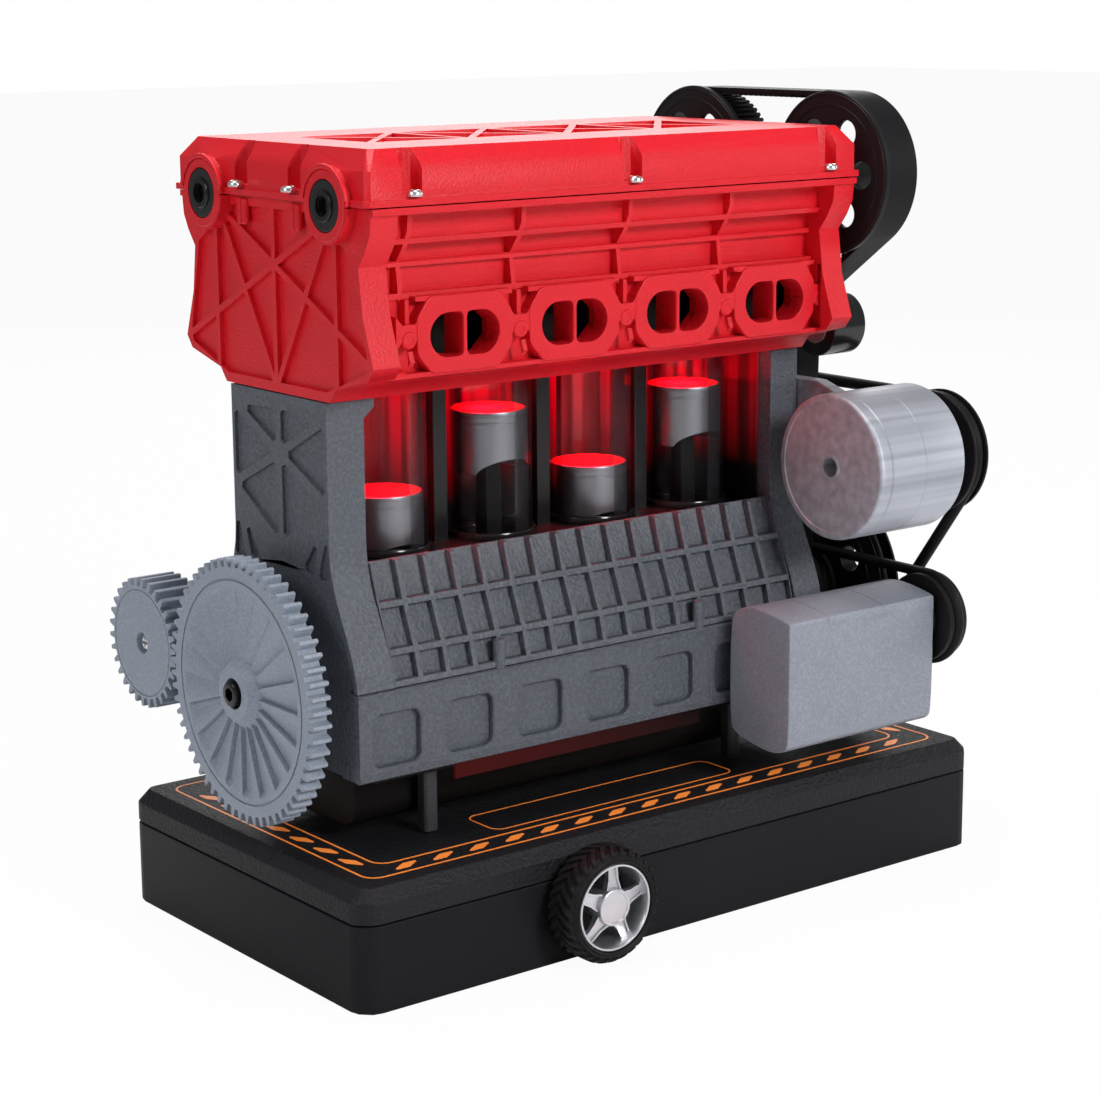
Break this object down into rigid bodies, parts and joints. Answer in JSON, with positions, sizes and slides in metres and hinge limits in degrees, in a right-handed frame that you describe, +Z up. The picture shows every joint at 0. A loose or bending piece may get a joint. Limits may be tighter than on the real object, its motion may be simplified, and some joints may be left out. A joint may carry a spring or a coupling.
{
  "type": "four stroke engine model",
  "caption": "Desk-top cutaway engine model with clear cylinders, belt drive, ring-gear flywheel and a wheel-shaped speed knob on its base box.",
  "frame": {"origin": "centre of the base's underside, on the floor", "axes": "+X towards the belt end, -Y towards the side with the speed knob, +Z up"},
  "size_m": [0.1909, 0.1222, 0.1932],
  "materials": {
    "base_plastic": "fine even texture, near black",
    "black_plastic": "matte black moulding",
    "engine_plastic": "blue-grey printed plastic",
    "red_plastic": "red printed plastic",
    "clear_plastic": "clear thin-walled tube",
    "silver_metal": "satin silver",
    "grey_plastic": "grey printed plastic",
    "shaft_steel": "turned steel",
    "belt_rubber": "black belt rubber",
    "knob_rubber": "black soft tyre",
    "knob_silver": "silver coated plastic"
  },
  "bodies": {
    "engine": {"base_tray": "base_plastic", "base_lid": "base_plastic", "speed_control": "black_plastic", "leg_front_left": "engine_plastic", "leg_front_right": "engine_plastic", "leg_rear_left": "engine_plastic", "leg_rear_right": "engine_plastic", "oil_sump": "black_plastic", "skirt_front": "engine_plastic", "skirt_rear": "engine_plastic", "crankcase_front": "engine_plastic", "crankcase_rear": "engine_plastic", "end_plate_flywheel": "engine_plastic", "end_plate_timing": "engine_plastic", "cylinder_deck": "engine_plastic", "sleeve_1": "clear_plastic", "sleeve_2": "clear_plastic", "sleeve_3": "clear_plastic", "sleeve_4": "clear_plastic", "cylinder_head": "red_plastic", "valve_cover": "red_plastic", "lamp_strip": "black_plastic", "bearing_web_1": "engine_plastic", "bearing_web_2": "engine_plastic", "bearing_web_3": "engine_plastic", "timing_belt": "belt_rubber", "alternator_belt": "belt_rubber", "compressor_belt": "belt_rubber", "starter_motor": "grey_plastic", "alternator_body": "grey_plastic", "compressor_body": "grey_plastic"},
    "crankshaft": {"crank_section_1": "shaft_steel", "crank_section_2": "shaft_steel", "crank_section_3": "shaft_steel", "crank_section_4": "shaft_steel", "crank_section_5": "shaft_steel", "flywheel_gear": "grey_plastic", "flywheel_bolt": "shaft_steel", "crank_timing_pulley": "grey_plastic", "accessory_pulley": "black_plastic"},
    "cam_front": {"camshaft_front": "black_plastic", "cam_pulley_front": "grey_plastic"},
    "cam_rear": {"camshaft_rear": "black_plastic", "cam_pulley_rear": "grey_plastic"},
    "tensioner": {"tensioner_roller": "grey_plastic"},
    "idler": {"idler_pulley": "grey_plastic"},
    "alternator_rotor": {"alternator_pulley": "grey_plastic"},
    "compressor_rotor": {"compressor_pulley": "grey_plastic"},
    "starter": {"starter_pinion": "grey_plastic"},
    "speed_knob": {"knob_tyre": "knob_rubber", "knob_rim": "knob_silver"},
    "piston_1": {"piston_1": "silver_metal"},
    "piston_2": {"piston_2": "silver_metal"},
    "piston_3": {"piston_3": "silver_metal"},
    "piston_4": {"piston_4": "silver_metal"},
    "rod_1": {"conrod_1": "black_plastic"},
    "rod_2": {"conrod_2": "black_plastic"},
    "rod_3": {"conrod_3": "black_plastic"},
    "rod_4": {"conrod_4": "black_plastic"}
  },
  "joints": [
    {"name": "crank_spin", "type": "hinge", "parent": "engine", "child": "crankshaft", "pos_m": [0, -0.0015, 0.0628], "axis": [1, 0, 0], "continuous": true},
    {"name": "cam_front_spin", "type": "hinge", "parent": "engine", "child": "cam_front", "pos_m": [0, -0.0269, 0.17325], "axis": [1, 0, 0], "continuous": true},
    {"name": "cam_rear_spin", "type": "hinge", "parent": "engine", "child": "cam_rear", "pos_m": [0, 0.0239, 0.17325], "axis": [1, 0, 0], "continuous": true},
    {"name": "tensioner_spin", "type": "hinge", "parent": "engine", "child": "tensioner", "pos_m": [0, -0.0216, 0.135], "axis": [1, 0, 0], "continuous": true},
    {"name": "idler_spin", "type": "hinge", "parent": "engine", "child": "idler", "pos_m": [0, 0.005, 0.1086], "axis": [1, 0, 0], "continuous": true},
    {"name": "alternator_spin", "type": "hinge", "parent": "engine", "child": "alternator_rotor", "pos_m": [0, -0.045, 0.104], "axis": [1, 0, 0], "continuous": true},
    {"name": "compressor_spin", "type": "hinge", "parent": "engine", "child": "compressor_rotor", "pos_m": [0, -0.0481, 0.0628], "axis": [1, 0, 0], "continuous": true},
    {"name": "starter_spin", "type": "hinge", "parent": "engine", "child": "starter", "pos_m": [0, 0.04341, 0.0656], "axis": [1, 0, 0], "continuous": true},
    {"name": "piston_1_slide", "type": "slide", "parent": "engine", "child": "piston_1", "axis": [0, 0, 1], "range_m": [0, 0.0164]},
    {"name": "piston_2_slide", "type": "slide", "parent": "engine", "child": "piston_2", "axis": [0, 0, 1], "range_m": [-0.0164, 0]},
    {"name": "piston_3_slide", "type": "slide", "parent": "engine", "child": "piston_3", "axis": [0, 0, 1], "range_m": [0, 0.0164]},
    {"name": "piston_4_slide", "type": "slide", "parent": "engine", "child": "piston_4", "axis": [0, 0, 1], "range_m": [-0.0164, 0]},
    {"name": "rod_1_swing", "type": "hinge", "parent": "piston_1", "child": "rod_1", "pos_m": [-0.0542, -0.0015, 0.0955], "axis": [1, 0, 0], "range_deg": [-11.5, 11.5]},
    {"name": "rod_2_swing", "type": "hinge", "parent": "piston_2", "child": "rod_2", "pos_m": [-0.0236, -0.0015, 0.1119], "axis": [1, 0, 0], "range_deg": [-11.5, 11.5]},
    {"name": "rod_3_swing", "type": "hinge", "parent": "piston_3", "child": "rod_3", "pos_m": [0.007, -0.0015, 0.0955], "axis": [1, 0, 0], "range_deg": [-11.5, 11.5]},
    {"name": "rod_4_swing", "type": "hinge", "parent": "piston_4", "child": "rod_4", "pos_m": [0.0376, -0.0015, 0.1119], "axis": [1, 0, 0], "range_deg": [-11.5, 11.5]},
    {"name": "knob_turn", "type": "hinge", "parent": "engine", "child": "speed_knob", "pos_m": [-0.0327, -0.05, 0.0141], "axis": [0, -1, 0], "range_deg": [0, 300]}
  ],
  "couplings": [
    {"joint": "cam_front_spin", "follows": "crank_spin", "ratio": 0.5},
    {"joint": "cam_rear_spin", "follows": "crank_spin", "ratio": 0.5},
    {"joint": "tensioner_spin", "follows": "crank_spin", "ratio": -1.1103},
    {"joint": "idler_spin", "follows": "crank_spin", "ratio": 2.7667},
    {"joint": "alternator_spin", "follows": "crank_spin", "ratio": 1.8309},
    {"joint": "compressor_spin", "follows": "crank_spin", "ratio": 1},
    {"joint": "starter_spin", "follows": "crank_spin", "ratio": -2},
    {"joint": "piston_2_slide", "follows": "piston_1_slide", "ratio": -1},
    {"joint": "piston_3_slide", "follows": "piston_1_slide", "ratio": 1},
    {"joint": "piston_4_slide", "follows": "piston_1_slide", "ratio": -1},
    {"joint": "rod_2_swing", "follows": "rod_1_swing", "ratio": -1},
    {"joint": "rod_3_swing", "follows": "rod_1_swing", "ratio": 1},
    {"joint": "rod_4_swing", "follows": "rod_1_swing", "ratio": -1}
  ]
}
